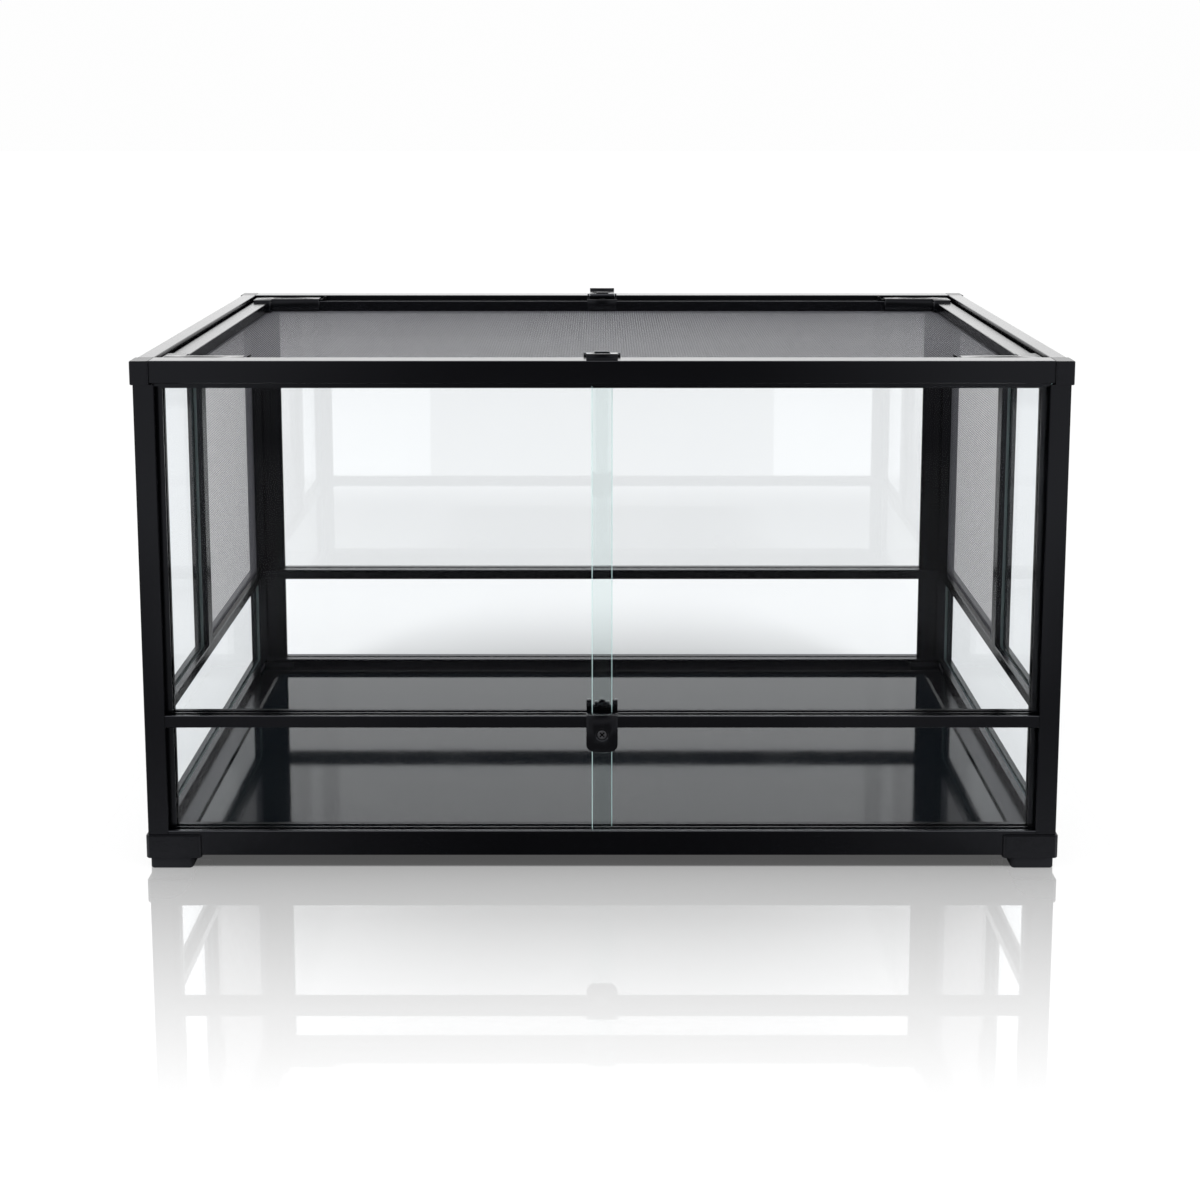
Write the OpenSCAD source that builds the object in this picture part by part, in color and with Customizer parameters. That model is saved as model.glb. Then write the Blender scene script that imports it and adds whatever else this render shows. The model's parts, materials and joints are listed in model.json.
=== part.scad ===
// Reptile terrarium: a knock-down tank of hollow aluminium extrusions and glass.
// Lower fixed panes, two sliding doors above, a framed screen lid, mesh vents
// in the sides. X is across the front, Y runs to the back, Z is up. The origin
// is on the table under the middle of the tank.

/* [Frame] */
// Width over the outer faces of the posts
frame_w = 900; // [620:10:1200]
// Depth over the outer faces of the posts
frame_d = 600; // [480:10:750]
// Height from the table to the top of the frame
frame_h = 510; // [400:10:700]
// Width of a corner post across the front
post_w = 20; // [19:0.5:24]
// Depth of the posts and of the front and back rails
rail_d = 24; // [23:0.5:30]
// Width of the side rails
side_w = 16; // [14:0.5:17]
// Wall of the hollow extrusions
wall = 1.6; // [1.2:0.1:2]
// Chamfer along the edges of the extrusions
edge = 0.6; // [0.3:0.1:1]
// Height of the top rails
top_h = 22; // [20:0.5:28]
// Underside of the bottom rails above the table
bottom_z = 14; // [13:0.5:16]
// Height of the bottom rails
bottom_h = 25; // [23:0.5:30]
// Underside of the mid rails above the table
mid_z = 145; // [110:1:190]
// Height of the mid rails
mid_h = 12; // [11:0.5:16]
// How far the face of the front mid rail lies back from the posts
mid_recess = 1; // [0.5:0.1:2]
// Length of the short side rail sections beside the back top corners
rail_end_len = 76; // [50:1:110]

/* [Glass] */
// Thickness of every pane
glass_t = 4; // [3:0.5:5]
// Play of a sliding door on each side in its track
door_play = 0.75; // [0.5:0.05:1]
// Play of a fixed pane on each side in its slot
pane_play = 0.2; // [0.1:0.05:0.3]
// Depth of the slots that hold the fixed panes
pane_bite = 5; // [4:0.1:5.2]
// Overlap of the two panes at the middle of the front
door_overlap = 20; // [14:1:40]
// Front lip of the door track
track_lip = 5; // [4:0.5:6]
// Web between the two door tracks
track_div = 2.5; // [1.5:0.1:3]
// Reach of the post lips past the post, along the door tracks
post_lip = 6; // [3:0.5:8]
// How far the track walls hang below the front top rail
track_drop = 6; // [4:0.5:8]
// Depth of the upper door track above its walls
lift_room = 9; // [8:0.5:10]

/* [Floor] */
// Thickness of the floor panel
floor_t = 5; // [3:0.5:6]
// Top of the floor panel above the table
floor_z = 26.8; // [25.5:0.1:28]
// Width of the inner flange that covers the edge of the floor panel
flange_w = 22; // [16:1:26]
// Thickness of the floor flanges
flange_t = 2.4; // [2:0.1:2.6]
// Width of the flange on the back posts
stile_w = 24; // [16:1:28]

/* [Feet] */
// Height of the rubber pads
pad_h = 11.5; // [8:0.5:12]
// Side of the rubber pads
pad_size = 42; // [30:1:46]
// Length of a foot block along each rail
foot_len = 55; // [48:1:70]
// How far the plastic blocks stand proud of the extrusions
proud = 2.4; // [1:0.1:3]
// Corner radius of the foot blocks
foot_r = 4; // [2:0.5:6]
// Length of the plugs that enter the hollow extrusions
plug_len = 20; // [12:1:30]
// Clearance of a plug in its extrusion
plug_play = 0.15; // [0.05:0.05:0.3]

/* [Side vents] */
// Distance from the front of the tank to the middle of the side divider
divider_y = 250; // [180:5:300]
// Width of the side divider
divider_w = 22; // [18:1:30]
// Thickness of the wire mesh
mesh_t = 1; // [0.6:0.1:1.2]

/* [Lid] */
// Gap between the lid and the frame
lid_gap = 4; // [2:0.5:5]
// Width of the lid rails
lid_w = 18; // [16:0.5:22]
// Height of the lid rails
lid_h = 14; // [12:0.5:14.5]
// How far the lid rails lie below the top of the frame
lid_drop = 5; // [4:0.1:5.4]
// Width of the ledge that carries the lid
ledge_w = 9; // [6:0.5:11]
// Clearance under the lid
lid_seat = 0.2; // [0.1:0.1:0.4]
// How far the mesh enters the lid rails
mesh_bite = 3; // [2:0.5:3.5]
// Length of a lid corner along the front or back
corner_len = 80; // [74:1:110]
// Length of a lid corner along the side
corner_side = 38; // [30:1:60]
// Width of the long arm of a lid corner
corner_w = 22; // [20:0.5:26]
// Height of a lid corner above the lid rails
corner_rise = 3.2; // [3:0.1:4]

/* [Cable ports] */
// Length of a cable port
port_len = 38; // [24:1:40]
// Width of a cable port
port_w = 9; // [6:0.5:9]
// Distance from the end of the lid to the middle of a port
port_x = 40; // [38:1:44]
// Thickness of a port shutter
shutter_t = 1.4; // [1:0.1:1.5]
// Overlap of a shutter past the ends and sides of its port
shutter_lap = 2.5; // [1.5:0.1:3]
// Height of the finger tip on a shutter
tip_h = 5; // [3:0.5:6]

/* [Lid hasps] */
// Width of a hasp over its ears
hasp_w = 36; // [28:1:40]
// Thickness of a hasp plate
hasp_t = 2.8; // [2:0.1:4]
// Thickness of the ears that hold the hasp pin
ear_t = 2.5; // [2:0.1:4]
// Radius of the hasp pin
pin_r = 1.5; // [1:0.1:1.8]
// Length of the window in a hasp plate
window_l = 13; // [8:1:14]
// Height of the finger lip at the free end of a hasp
lip_h = 3.4; // [2:0.1:5]
// Length of the raised rib over the hasp pin
rib_l = 15; // [10:1:20]

/* [Door lock] */
// Width of the lock plate
lock_w = 31; // [24:1:40]
// Height of the lock plate
lock_h = 36; // [30:1:44]
// Corner radius of the lock plate
lock_r = 8; // [4:1:11]
// Radius of the lock cylinder
key_r = 4.5; // [3.5:0.1:5]
// Height of the lock cylinder above the lower end of the plate
key_z = 17.5; // [14:0.5:20]
// Running clearance of pins and cylinders
run_fit = 0.05; // [0.02:0.01:0.08]

/* [Hidden] */
$fn = 48;
LEFT = -1;
RIGHT = 1;
FRONT = -1;
BACK = 1;
BLACK_METAL = [0.10, 0.10, 0.11];
BLACK_PLASTIC = [0.07, 0.07, 0.08];
GLASS = [0.80, 0.90, 0.90, 0.35];
MESH_GREY = [0.35, 0.35, 0.36];
STEEL = [0.62, 0.63, 0.65];
past = 1;                                   // how far a cut runs past a face

// Levels of the frame
bottom_top = bottom_z + bottom_h;
mid_top = mid_z + mid_h;
top_z = frame_h - top_h;
foot_top = bottom_top - pane_bite + 1;      // the bottom slots end on the foot blocks
seam_z = mid_top - 1;
skirt = 1.3;                                // the top corners reach this far below the rails
post_top = top_z - skirt;
rail_joint = frame_d / 2 - rail_d - rail_end_len;

// Slots and tracks, measured in from the outer faces
slot_w = glass_t + 2 * pane_play;
track_w = glass_t + 2 * door_play;
back_pane_s = rail_d / 2;
side_pane_s = side_w / 2;
low_bite = bottom_top - foot_top;
post_slot = side_w - 0.5;                   // floor of the door tracks in the posts
pane_edge = side_w + 1;                     // how far the pane edges stop from the outer faces
door_top = top_z + lift_room - 3;
top_slot = top_z + lift_room;
door_rest = mid_top - pane_bite + 0.5;      // floor of the lower door tracks
door_seat = 0.3;
side_edge = rail_d - pane_bite + pane_play; // edges of the side panes in the posts

// The lid and what it carries
lid_top = frame_h - lid_drop;
lid_z = lid_top - lid_h;
ledge_top = lid_z - lid_seat;
lid_x = frame_w / 2 - side_w - lid_gap;
lid_y = frame_d / 2 - rail_d - lid_gap;
corner_top = lid_top + corner_rise;
mesh_z = lid_z + 1;
port_in = (lid_w - mesh_bite) / 2 + 1.6;    // port centre from the lid's outer edge
port_r = (port_len * port_len / 4 + port_w * port_w / 4) / port_w;
shutter_z = lid_top + 0.4;
channel_h = shutter_t + 0.3;
shutter_w = port_w + 2 * shutter_lap;
shutter_in = port_x - port_len / 2 - shutter_lap;
tip_t = 3.5;

// Hasps
hasp_z = frame_h + 0.4;
axis_r = pin_r + 1.3;
axis_z = hasp_z + hasp_t - axis_r;
axis_s = rail_d + lid_gap + 6;
base_t = 2;

// Lock
lock_top = mid_top + 1.8;
lock_bottom = lock_top - 1.6 - lock_h;
key_height = lock_bottom + key_z;
lock_back = mid_recess;

// Height of the outer front edge of door track number k, 0 in front and 1 behind
function track_s(k) = track_lip + k * (track_w + track_div);
// Front face of the pane in door track number k
function pane_s(k) = track_s(k) + door_play;

// ---------- placing ----------

// Children use x inwards from the left or right and y inwards from the front or back
module at_corner(sx, sy) {
    translate([sx * frame_w / 2, sy * frame_d / 2, 0])
        mirror([sx > 0 ? 1 : 0, 0, 0])
            mirror([0, sy > 0 ? 1 : 0, 0])
                children();
}

module at_each_corner() {
    for (sx = [LEFT, RIGHT], sy = [FRONT, BACK])
        at_corner(sx, sy) children();
}

// Children use y inwards from the front or back face
module at_face(sy) {
    mirror([0, sy > 0 ? 1 : 0, 0])
        translate([0, -frame_d / 2, 0])
            children();
}

// Children use x inwards from the left or right face
module at_side(sx) {
    mirror([sx > 0 ? 1 : 0, 0, 0])
        translate([-frame_w / 2, 0, 0])
            children();
}

// A section drawn as (inwards, up) and drawn out across the front
module run_across(length) {
    rotate([90, 0, 90])
        translate([0, 0, -length / 2])
            linear_extrude(length) children();
}

// A section drawn as (inwards, up) and drawn out from front to back
module run_deep(length) {
    rotate([90, 0, 0])
        translate([0, 0, -length / 2])
            linear_extrude(length) children();
}

// ---------- sections ----------

module area(x0, x1, y0, y1) {
    translate([x0, y0]) square([x1 - x0, y1 - y0]);
}

// A rectangle with its four corners cut at 45 degrees
module bar_area(x0, x1, y0, y1, cut = edge) {
    polygon([
        [x0 + cut, y0], [x1 - cut, y0], [x1, y0 + cut], [x1, y1 - cut],
        [x1 - cut, y1], [x0 + cut, y1], [x0, y1 - cut], [x0, y0 + cut]
    ]);
}

// A rectangle with round corners
module round_area(x0, x1, y0, y1, r) {
    area(x0 + r, x1 - r, y0, y1);
    area(x0, x1, y0 + r, y1 - r);
    for (x = [x0 + r, x1 - r], y = [y0 + r, y1 - r])
        translate([x, y]) circle(r);
}

// A block with its upright edges rounded and its top and bottom edges eased
module eased_block(x0, x1, y0, y1, z0, z1, r, ease = 0.8) {
    translate([0, 0, z0 + ease]) linear_extrude(z1 - z0 - 2 * ease) round_area(x0, x1, y0, y1, r);
    translate([0, 0, z0]) linear_extrude(z1 - z0)
        round_area(x0 + ease, x1 - ease, y0 + ease, y1 - ease, r - ease);
}

// Hollow of a post, which ends before the tracks and the side pane slot
module post_hollow(play = 0) {
    area(wall + play, post_slot - wall - play, wall + play, rail_d - pane_bite - wall - play);
}

module side_pane_slot() {
    area(side_pane_s - slot_w / 2, side_pane_s + slot_w / 2, rail_d - pane_bite, rail_d + past);
}

module front_post_section() {
    difference() {
        bar_area(0, post_w, 0, rail_d);
        for (k = [0, 1]) area(post_slot, post_w + past, track_s(k), track_s(k) + track_w);
        side_pane_slot();
        post_hollow();
    }
}

// Lips that run the door tracks on past the front posts
module front_post_lips() {
    area(post_w - past, post_w + post_lip, track_s(0) + track_w, track_s(1));
    area(post_w - past, post_w + post_lip, track_s(1) + track_w, rail_d);
}

module back_post_section() {
    difference() {
        bar_area(0, post_w, 0, rail_d);
        area(post_slot, post_w + past, back_pane_s - slot_w / 2, back_pane_s + slot_w / 2);
        side_pane_slot();
        post_hollow();
    }
}

// Wide flange that covers the edge of the back glass, with a rib and an end bead
module back_post_flange() {
    flange_s = back_pane_s + slot_w / 2;
    end = post_w + stile_w;
    area(post_w - past, end, flange_s, flange_s + flange_t);
    area(end - 2, end, flange_s, flange_s + flange_t + 2);
    area(post_w + stile_w / 3, post_w + stile_w / 3 + 2, flange_s, flange_s + flange_t + 1.5);
}

// Flanges that hold the floor panel, drawn from the inner face at x
module floor_flange(x) {
    low = floor_z - floor_t - 0.2;
    high = floor_z + 0.3;
    area(x, x + 2, low - flange_t, high + flange_t);
    area(x, x + flange_w, high, high + flange_t);
    area(x + flange_w - 2, x + flange_w, high, high + flange_t + 1);
    area(x, x + flange_w * 0.6, low - flange_t, low);
}

module bottom_hollow(width, play = 0) {
    area(wall + play, width - wall - play, bottom_z + wall + play, foot_top - wall - play);
}

// Slots for the panes in the top of a rail: front rails have both door tracks
module pane_slots_from(z0, z1, kind) {
    if (kind == "front")
        for (k = [0, 1]) area(track_s(k), track_s(k) + track_w, z0, z1);
    else {
        at = kind == "back" ? back_pane_s : side_pane_s;
        area(at - slot_w / 2, at + slot_w / 2, z0, z1);
    }
}

module bottom_section(width, kind) {
    difference() {
        bar_area(0, width, bottom_z, bottom_top);
        pane_slots_from(foot_top, bottom_top + past, kind);
        bottom_hollow(width);
    }
}

// The part of a bottom rail that runs on over the foot blocks
module bottom_strip_section(width, kind) {
    intersection() {
        bottom_section(width, kind);
        area(-past, width + past, foot_top, bottom_top);
    }
}

module mid_section(width, kind) {
    out = kind == "front" ? mid_recess : 0;
    floor_up = kind == "front" ? door_rest : mid_top - pane_bite;
    difference() {
        bar_area(out, width, mid_z, mid_top);
        pane_slots_from(floor_up, mid_top + past, kind);
        pane_slots_from(mid_z - past, mid_z + pane_bite - 0.5, kind);
    }
}

module top_hollow(width, play = 0) {
    area(wall + play, width - wall - play, top_slot + wall + play, frame_h - wall - play);
}

module ledge_area(x) {
    area(x - past, x + ledge_w, top_z, ledge_top);
}

module top_section(width, kind) {
    difference() {
        bar_area(0, width, top_z, frame_h);
        pane_slots_from(top_z - past, top_slot, kind);
        top_hollow(width);
    }
}

// Walls of the door tracks that hang below the front top rail
module track_walls() {
    area(track_s(0) + track_w, track_s(1), top_z - track_drop, top_z + past);
    area(track_s(1) + track_w, rail_d, top_z - track_drop, top_z + past);
}

module front_track_wall() {
    area(track_s(0) - 2.5, track_s(0), top_z - track_drop / 2, top_z + past);
}

// ---------- feet and base ----------

module foot_pads() {
    inset = 3.5;
    color(BLACK_PLASTIC) at_each_corner()
        difference() {
            eased_block(inset - proud, inset - proud + pad_size, inset - proud, inset - proud + pad_size,
                0, pad_h, foot_r, 1);
            // shallow relief under the pad, inside a raised rim
            translate([0, 0, -past])
                linear_extrude(past + 1)
                    area(inset + 6, inset - proud + pad_size - 8, inset + 6, inset - proud + pad_size - 8);
        }
}

module foot_block() {
    end = foot_len - proud;
    difference() {
        eased_block(-proud, end, -proud, end, pad_h, foot_top, foot_r);
        // room for the floor panel and the flanges that carry it
        translate([side_w, rail_d, floor_z - floor_t - flange_t - 0.3])
            cube([foot_len, foot_len, foot_top]);
    }
    // plugs into the two bottom rails and the post
    translate([end - past, 0, 0])
        rotate([90, 0, 90]) linear_extrude(plug_len + past) bottom_hollow(rail_d, plug_play);
    translate([0, end + plug_len, 0])
        rotate([90, 0, 0]) linear_extrude(plug_len + past) bottom_hollow(side_w, plug_play);
    translate([0, 0, foot_top - past]) linear_extrude(plug_len + past) post_hollow(plug_play);
}

module foot_blocks() {
    color(BLACK_PLASTIC) at_each_corner() foot_block();
}

module floor_panel() {
    in = 2.3;
    color([0.03, 0.03, 0.035])
        translate([-frame_w / 2 + side_w + in, -frame_d / 2 + rail_d + in, floor_z - floor_t])
            cube([frame_w - 2 * (side_w + in), frame_d - 2 * (rail_d + in), floor_t]);
}

module bottom_rail_across(sy, kind) {
    block_end = foot_len - proud;
    color(BLACK_METAL) at_face(sy) {
        run_across(frame_w - 2 * block_end) bottom_section(rail_d, kind);
        run_across(frame_w - 2 * post_w) bottom_strip_section(rail_d, kind);
        run_across(frame_w - 2 * side_w) floor_flange(rail_d);
    }
}

module bottom_rail_deep(sx) {
    block_end = foot_len - proud;
    color(BLACK_METAL) at_side(sx) {
        run_deep(frame_d - 2 * block_end) bottom_section(side_w, "side");
        run_deep(frame_d - 2 * rail_d) bottom_strip_section(side_w, "side");
        run_deep(frame_d - 2 * (rail_d + flange_w)) floor_flange(side_w);
    }
}

// ---------- posts and joiners ----------

module lower_post(sx, sy) {
    color(BLACK_METAL) at_corner(sx, sy) {
        translate([0, 0, foot_top]) linear_extrude(seam_z - foot_top)
            if (sy == FRONT) front_post_section(); else back_post_section();
        translate([0, 0, bottom_top]) linear_extrude(mid_z - bottom_top)
            if (sy == FRONT) front_post_lips(); else back_post_flange();
    }
}

module upper_post(sx, sy) {
    color(BLACK_METAL) at_corner(sx, sy) {
        translate([0, 0, seam_z]) linear_extrude(post_top - seam_z)
            if (sy == FRONT) front_post_section(); else back_post_section();
        translate([0, 0, mid_top]) linear_extrude(post_top - mid_top)
            if (sy == FRONT) front_post_lips(); else back_post_flange();
    }
}

module post_joiners() {
    color(BLACK_PLASTIC) at_each_corner()
        translate([0, 0, seam_z - plug_len]) linear_extrude(2 * plug_len) post_hollow(plug_play);
}

// ---------- mid and top rails ----------

module mid_rail_across(sy, kind) {
    color(BLACK_METAL) at_face(sy)
        run_across(frame_w - 2 * post_w) mid_section(rail_d, kind);
}

module mid_rail_deep(sx) {
    color(BLACK_METAL) at_side(sx)
        run_deep(frame_d - 2 * rail_d) mid_section(side_w, "side");
}

module top_rail_across(sy, kind) {
    color(BLACK_METAL) at_face(sy) {
        run_across(frame_w - 2 * side_w) {
            top_section(rail_d, kind);
            ledge_area(rail_d);
        }
        if (kind == "front") {
            run_across(frame_w - 2 * (post_w + post_lip)) track_walls();
            run_across(frame_w - 2 * post_w) front_track_wall();
        }
    }
}

// Side top rail from y0 to y1, and its lid ledge from ledge_y0 to ledge_y1
module top_rail_part(sx, y0, y1, ledge_y0, ledge_y1) {
    color(BLACK_METAL) at_side(sx) {
        translate([0, (y0 + y1) / 2, 0]) run_deep(y1 - y0) top_section(side_w, "side");
        translate([0, (ledge_y0 + ledge_y1) / 2, 0]) run_deep(ledge_y1 - ledge_y0) ledge_area(side_w);
    }
}

module top_rail_deep(sx) {
    front = rail_d - frame_d / 2;
    top_rail_part(sx, front, rail_joint, front + ledge_w, rail_joint);
}

// Short lengths of the same rail between the side rails and the back corners
module top_rail_ends() {
    back = frame_d / 2 - rail_d;
    for (sx = [LEFT, RIGHT]) top_rail_part(sx, rail_joint, back, rail_joint, back - ledge_w);
}

// Its plug to the front or back is reach long
module top_corner(reach) {
    difference() {
        eased_block(-proud, side_w, -proud, rail_d, post_top, frame_h, 1.6, 0.6);
        translate([0, 0, post_top - past]) linear_extrude(top_slot - post_top + past) side_pane_slot();
    }
    // plugs into the two top rails and the post
    translate([side_w - past, 0, 0])
        rotate([90, 0, 90]) linear_extrude(plug_len + past) top_hollow(rail_d, plug_play);
    translate([0, rail_d + reach, 0])
        rotate([90, 0, 0]) linear_extrude(reach + past) top_hollow(side_w, plug_play);
    translate([0, 0, post_top - plug_len]) linear_extrude(plug_len + past) post_hollow(plug_play);
}

// The back ones reach through the short rail ends into the side rails
module top_corners() {
    color(BLACK_PLASTIC)
        for (sx = [LEFT, RIGHT]) {
            at_corner(sx, FRONT) top_corner(plug_len);
            at_corner(sx, BACK) top_corner(rail_end_len + plug_len);
        }
}

// ---------- glass ----------

// A pane across the front from x0 to x1, its front face s in from the front
module pane_across(x0, x1, s, z0, z1) {
    color(GLASS)
        translate([x0, s - frame_d / 2, z0]) cube([x1 - x0, glass_t, z1 - z0]);
}

// The two front panes overlap at the middle: the left one lies behind
module front_pane(sx, z0, z1) {
    k = sx == LEFT ? 1 : 0;
    outer = frame_w / 2 - pane_edge;
    inner = door_overlap / 2;
    pane_across(sx == LEFT ? -outer : -inner, sx == LEFT ? inner : outer, pane_s(k), z0, z1);
}

module lower_pane_front(sx) {
    front_pane(sx, foot_top + pane_play, mid_z + pane_bite - 0.5 - pane_play);
}

module door(sx) {
    front_pane(sx, door_rest + door_seat, door_top);
}

module pane_back(z0, z1) {
    outer = frame_w / 2 - pane_edge;
    pane_across(-outer, outer, frame_d - back_pane_s - glass_t / 2, z0, z1);
}

module pane_side(sx, y0, y1, z0, z1) {
    color(GLASS) at_side(sx)
        translate([side_pane_s - glass_t / 2, y0, z0]) cube([glass_t, y1 - y0, z1 - z0]);
}

module lower_pane_side(sx) {
    y = frame_d / 2 - side_edge;
    pane_side(sx, -y, y, foot_top + pane_play, mid_z + pane_bite - 0.5 - pane_play);
}

pane_low = mid_top - pane_bite + pane_play;
pane_high = top_slot - 3;
divider_front = divider_y - divider_w / 2 - frame_d / 2;
divider_back = divider_front + divider_w;

module side_pane(sx) {
    pane_side(sx, side_edge - frame_d / 2, divider_front + pane_bite - pane_play, pane_low, pane_high);
}

module side_divider(sx) {
    color(BLACK_METAL) at_side(sx)
        translate([0, 0, mid_top]) linear_extrude(top_z - mid_top)
            difference() {
                bar_area(0, side_w, divider_front, divider_back);
                area(side_pane_s - slot_w / 2, side_pane_s + slot_w / 2,
                    divider_front - past, divider_front + pane_bite);
                area(side_pane_s - slot_w / 2, side_pane_s + slot_w / 2,
                    divider_back - pane_bite, divider_back + past);
                area(wall, side_w - wall, divider_front + pane_bite + wall, divider_back - pane_bite - wall);
            }
}

// The wire mesh is a thin sheet, folded back at its edges to fill the slots
module side_mesh(sx) {
    y0 = divider_back - pane_bite + pane_play;
    y1 = frame_d / 2 - side_edge;
    hem = pane_bite - 1.5;
    color(MESH_GREY) at_side(sx) {
        translate([side_pane_s - mesh_t / 2, y0, pane_low]) cube([mesh_t, y1 - y0, pane_high - pane_low]);
        translate([side_pane_s - glass_t / 2, 0, 0])
            difference() {
                translate([0, y0, pane_low]) cube([glass_t, y1 - y0, pane_high - pane_low]);
                translate([-past, y0 + hem, pane_low + hem])
                    cube([glass_t + 2 * past, y1 - y0 - 2 * hem, pane_high - pane_low - 2 * hem]);
            }
    }
}

// ---------- lid ----------

// Section of a lid rail, drawn from its outer face, with the mesh slot inside
module lid_hollow(play = 0) {
    area(wall + play, lid_w - mesh_bite - wall - play, lid_z + wall + play, lid_top - wall - play);
}

module lid_section() {
    difference() {
        bar_area(0, lid_w, lid_z, lid_top);
        area(lid_w - mesh_bite, lid_w + past, mesh_z - 0.2, mesh_z + mesh_t + 0.2);
        lid_hollow();
    }
}

module lid_rail_across(sy) {
    color(BLACK_METAL) at_face(sy)
        translate([0, rail_d + lid_gap, 0])
            run_across(2 * (lid_x - corner_len)) lid_section();
}

module lid_rail_deep(sx) {
    color(BLACK_METAL) at_side(sx)
        translate([side_w + lid_gap, 0, 0])
            run_deep(2 * (lid_y - corner_side)) lid_section();
}

module lid_mesh() {
    x = lid_x - lid_w + mesh_bite - 0.2;
    y = lid_y - lid_w + mesh_bite - 0.2;
    color(MESH_GREY) translate([-x, -y, mesh_z]) cube([2 * x, 2 * y, mesh_t]);
}

// A lens of two arcs, port_len long and port_w wide
module lens() {
    intersection() {
        translate([0, port_r - port_w / 2]) circle(port_r, $fn = 96);
        translate([0, port_w / 2 - port_r]) circle(port_r, $fn = 96);
    }
}

// L-shaped lid corner with a cable port and the channel of its shutter
module lid_corner() {
    difference() {
        union() {
            translate([0, 0, lid_z]) linear_extrude(lid_h)
                lid_corner_area(0);
            translate([0, 0, lid_top - past]) linear_extrude(corner_rise + past)
                lid_corner_area(0.8);
        }
        translate([port_x, port_in, lid_z - past])
            linear_extrude(corner_top - lid_z + 2 * past) lens();
        translate([shutter_in - 0.4, port_in - shutter_w / 2 - 0.3, shutter_z - 0.2])
            cube([corner_len, shutter_w + 0.6, channel_h + 0.1]);
        translate([lid_w - mesh_bite, lid_w - mesh_bite, mesh_z - 0.2])
            cube([corner_len, corner_side, mesh_t + 0.4]);
    }
    // plugs into the lid rails
    translate([corner_len - past, 0, 0])
        rotate([90, 0, 90]) linear_extrude(12 + past) lid_hollow(plug_play);
    translate([0, corner_side + 12, 0])
        rotate([90, 0, 0]) linear_extrude(12 + past) lid_hollow(plug_play);
}

module lid_corner_area(ease) {
    round_area(ease, corner_len - ease, ease, corner_w - ease, 1.5);
    round_area(ease, corner_w - ease, ease, corner_side - ease, 1.5);
}

module in_lid_corner(sx, sy) {
    at_corner(sx, sy)
        translate([side_w + lid_gap, rail_d + lid_gap, 0]) children();
}

module lid_corner_at(sx, sy) {
    color(BLACK_PLASTIC) in_lid_corner(sx, sy) lid_corner();
}

// Sliding plate that closes a cable port, with a finger tip past the end of the corner
module shutter(sx, sy) {
    tip_x = corner_len + 2;
    color(BLACK_PLASTIC) in_lid_corner(sx, sy) {
        translate([shutter_in, port_in - shutter_w / 2, shutter_z])
            cube([tip_x + tip_t - shutter_in, shutter_w, shutter_t]);
        translate([tip_x, port_in + shutter_w / 2, shutter_z])
            rotate([90, 0, 0]) linear_extrude(shutter_w)
                polygon([[0, 0], [tip_t, 0], [tip_t + 1.5, tip_h], [tip_t - 0.5, tip_h]]);
    }
}

// ---------- lid hasps ----------

module hasp_base_at(sy) {
    at_face(sy) difference() {
        union() {
            // saddle over the lid rail and down its inner face
            translate([-hasp_w / 2, 0, 0]) rotate([90, 0, 90]) linear_extrude(hasp_w) {
                area(rail_d + lid_gap + 0.5, rail_d + lid_gap + lid_w + base_t, lid_top, lid_top + base_t);
                area(rail_d + lid_gap + lid_w, rail_d + lid_gap + lid_w + base_t,
                    mesh_z + mesh_t + 0.5, lid_top + base_t);
            }
            // ears
            for (x = [-hasp_w / 2, hasp_w / 2 - ear_t])
                translate([x, 0, 0]) rotate([90, 0, 90]) linear_extrude(ear_t) {
                    area(axis_s - axis_r, axis_s + axis_r, lid_top + base_t - past, axis_z);
                    translate([axis_s, axis_z]) circle(axis_r);
                }
        }
        translate([-hasp_w, axis_s, axis_z]) rotate([0, 90, 0]) cylinder(r = pin_r, h = 2 * hasp_w);
    }
}

module hasp_bases() {
    color(BLACK_PLASTIC) for (sy = [FRONT, BACK]) hasp_base_at(sy);
}

module hasp_pins() {
    color(STEEL) for (sy = [FRONT, BACK])
        at_face(sy) translate([-hasp_w / 2, axis_s, axis_z])
            rotate([0, 90, 0]) cylinder(r = pin_r, h = hasp_w);
}

// Plate that swings on the pin and lies over the top rail of the frame
module hasp(sy) {
    width = hasp_w - 2 * ear_t - 0.6;
    color(BLACK_PLASTIC) at_face(sy) difference() {
        union() {
            translate([-width / 2, axis_s, axis_z]) rotate([0, 90, 0]) cylinder(r = axis_r, h = width);
            translate([-width / 2, 0.6, hasp_z]) cube([width, axis_s - 0.6, hasp_t]);
            translate([-width / 2, 0.6, hasp_z]) cube([width, 2.2, hasp_t + lip_h]);
            translate([-rib_l / 2, axis_s - 3, hasp_z]) cube([rib_l, 3, hasp_t + 1.5]);
        }
        translate([-width, axis_s, axis_z]) rotate([0, 90, 0])
            cylinder(r = pin_r + run_fit, h = 2 * width);
        // hexagonal finger window
        translate([0, rail_d - 4, hasp_z - past]) cylinder(r = window_l / 2, h = hasp_t + 2 * past, $fn = 6);
    }
}

// ---------- door lock ----------

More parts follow.
